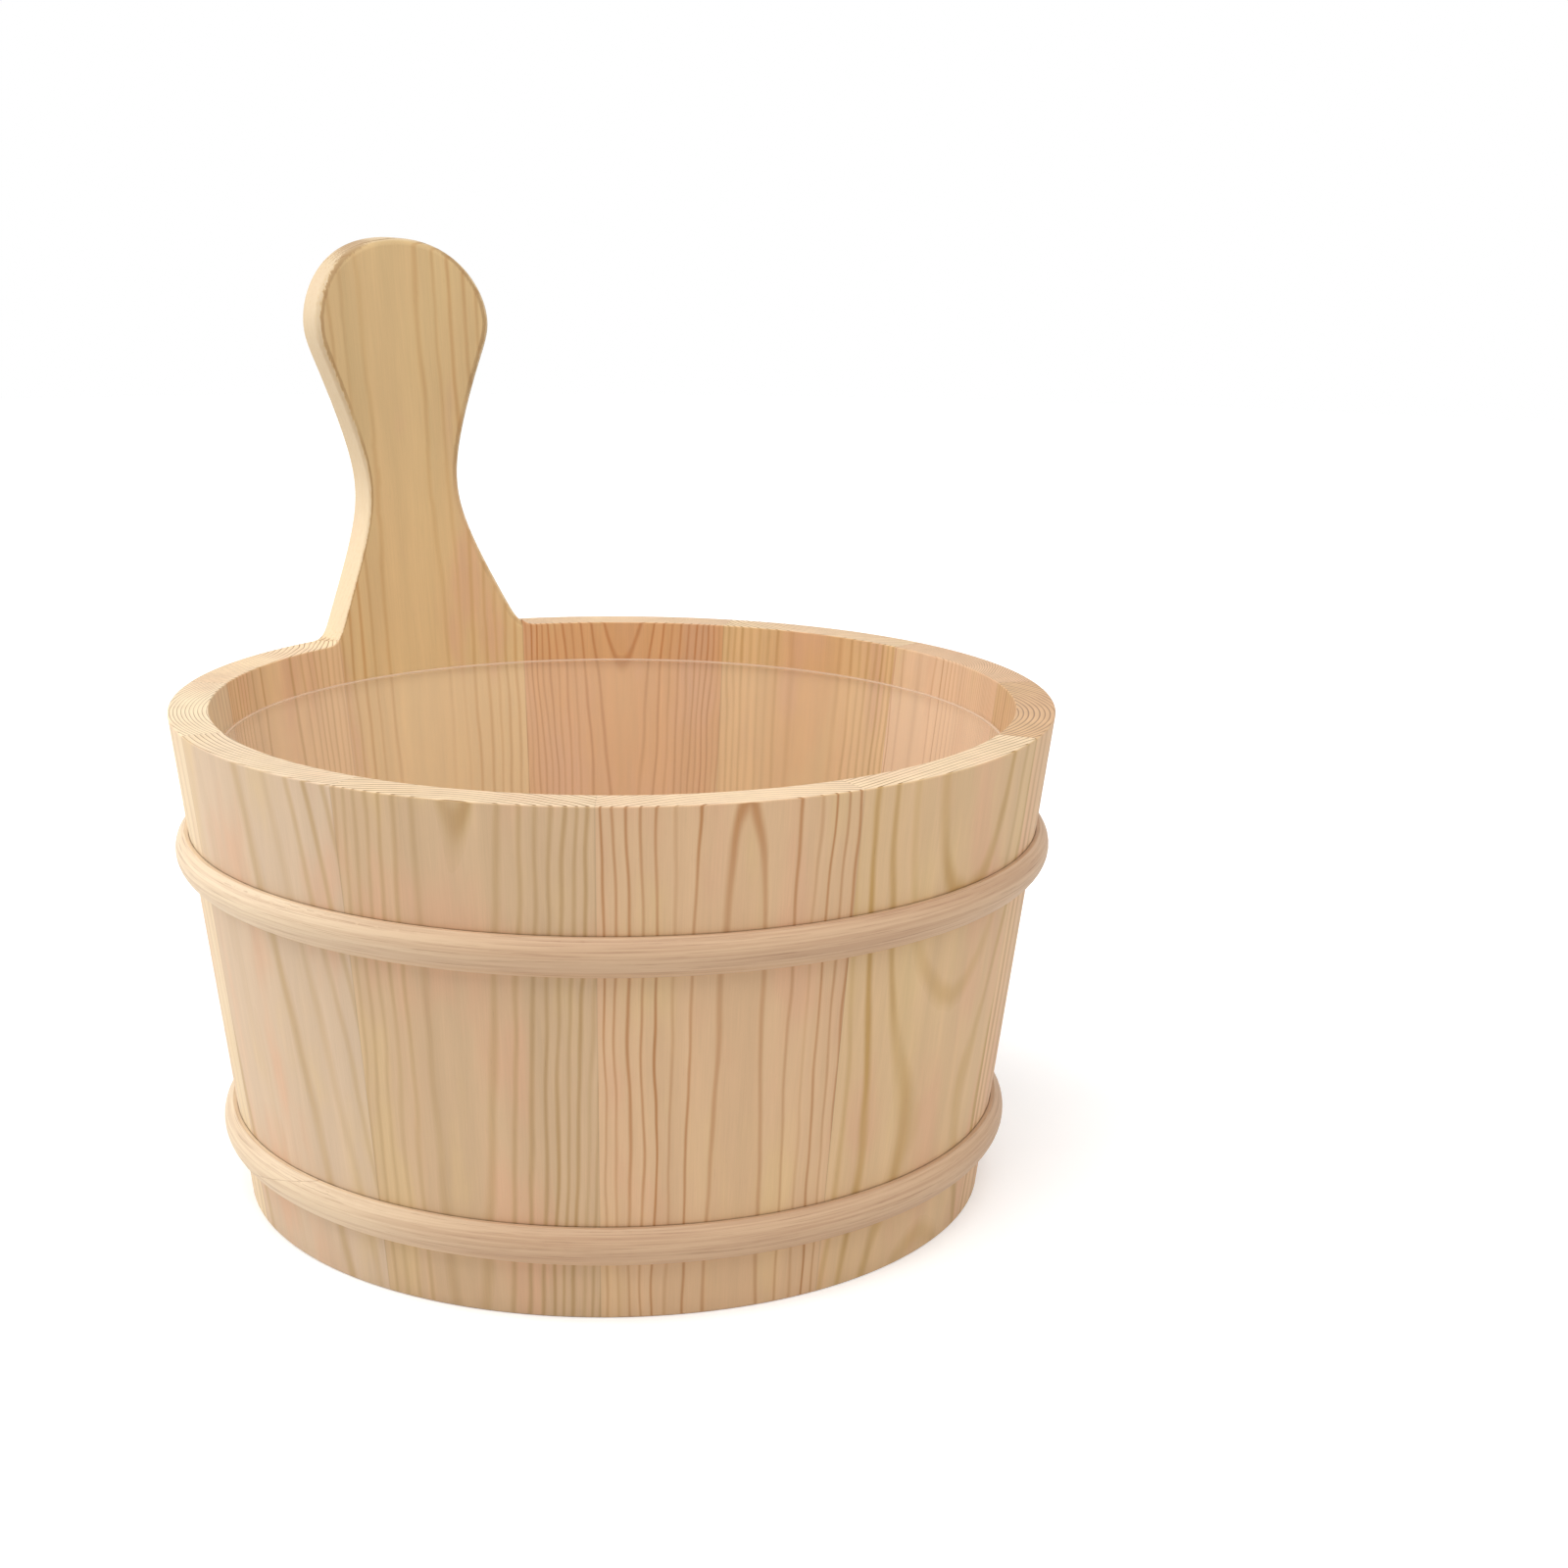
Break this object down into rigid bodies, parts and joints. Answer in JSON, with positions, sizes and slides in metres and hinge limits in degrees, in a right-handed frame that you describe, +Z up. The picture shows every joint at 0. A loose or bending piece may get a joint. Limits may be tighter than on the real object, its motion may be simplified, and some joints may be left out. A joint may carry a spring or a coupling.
{
  "type": "piggin",
  "caption": "Small tapered wooden pail of coopered staves with one tall stave as a handle, two half-round hoops and a clear liner that lifts out.",
  "frame": {"origin": "on the pail's axis, at the floor it stands on", "axes": "+Z up along the pail's axis, +Y towards the handle stave, +X to the right seen from the side opposite the handle"},
  "size_m": [0.2698, 0.2866, 0.2858],
  "materials": {
    "stave_pine": "sanded smooth, bare",
    "handle_pine": "sanded smooth, bare",
    "bottom_pine": "planed, bare",
    "dowel_beech": "fluted and glued",
    "hoop_wood": "sanded smooth, bare",
    "liner_plastic": "clear, a little milky"
  },
  "bodies": {
    "pail": {"handle_stave": "handle_pine", "side_stave_01": "stave_pine", "side_stave_02": "stave_pine", "side_stave_03": "stave_pine", "side_stave_04": "stave_pine", "side_stave_05": "stave_pine", "side_stave_06": "stave_pine", "side_stave_07": "stave_pine", "side_stave_08": "stave_pine", "side_stave_09": "stave_pine", "side_stave_10": "stave_pine", "bottom_board_1": "bottom_pine", "bottom_board_2": "bottom_pine", "bottom_board_3": "bottom_pine", "bottom_board_4": "bottom_pine", "bottom_dowels": "dowel_beech", "upper_hoop": "hoop_wood", "lower_hoop": "hoop_wood"},
    "liner": {"liner": "liner_plastic"}
  },
  "joints": [
    {"name": "liner_lift", "type": "slide", "parent": "pail", "child": "liner", "axis": [0, 0, 1], "range_m": [0, 0.16]}
  ]
}
